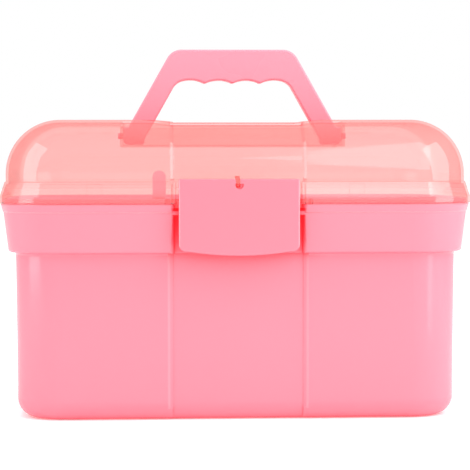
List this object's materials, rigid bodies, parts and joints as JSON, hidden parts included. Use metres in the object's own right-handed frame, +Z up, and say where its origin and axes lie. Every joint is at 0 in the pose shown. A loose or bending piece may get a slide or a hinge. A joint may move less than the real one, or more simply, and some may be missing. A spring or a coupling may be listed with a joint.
{
  "type": "storage box",
  "caption": "Portable moulded storage box with a hinged see-through domed lid, fold-down carry handle, front swing latch and a lift-out compartment tray.",
  "frame": {"origin": "on the floor under the middle of the box, the middle of its flat underside", "axes": "+Z up, -Y out of the front where the latch is, +X to the right of a person facing the front"},
  "size_m": [0.332, 0.2093, 0.2607],
  "materials": {
    "pink_plastic": "glossy moulded polypropylene, opaque, faintly milky",
    "clear_pink_plastic": "glossy see-through moulded plastic, peach pink tint",
    "tray_plastic": "satin moulded polypropylene"
  },
  "bodies": {
    "base": {"box_body": "pink_plastic", "lid_hinge_pin_left": "pink_plastic", "lid_hinge_pin_right": "pink_plastic"},
    "top": {"lid": "clear_pink_plastic", "latch_pin": "pink_plastic"},
    "handle": {"carry_handle": "pink_plastic"},
    "latch": {"front_latch": "pink_plastic"},
    "tray": {"lift_out_tray": "tray_plastic"}
  },
  "joints": [
    {"name": "lid_hinge", "type": "hinge", "parent": "base", "child": "top", "pos_m": [0, 0.1022, 0.1497], "axis": [-1, 0, 0], "range_deg": [0, 105]},
    {"name": "latch_hinge", "type": "hinge", "parent": "top", "child": "latch", "pos_m": [0, -0.0978, 0.1626], "axis": [-1, 0, 0], "range_deg": [0, 85]},
    {"name": "handle_hinge", "type": "hinge", "parent": "top", "child": "handle", "pos_m": [0, 0, 0.19775], "axis": [-1, 0, 0], "range_deg": [0, 88]},
    {"name": "tray_lift", "type": "slide", "parent": "base", "child": "tray", "axis": [0, 0, 1], "range_m": [0, 0.0642]}
  ],
  "couplings": [
    {"joint": "tray_lift", "follows": "lid_hinge", "m_per_rad": 0.035}
  ]
}
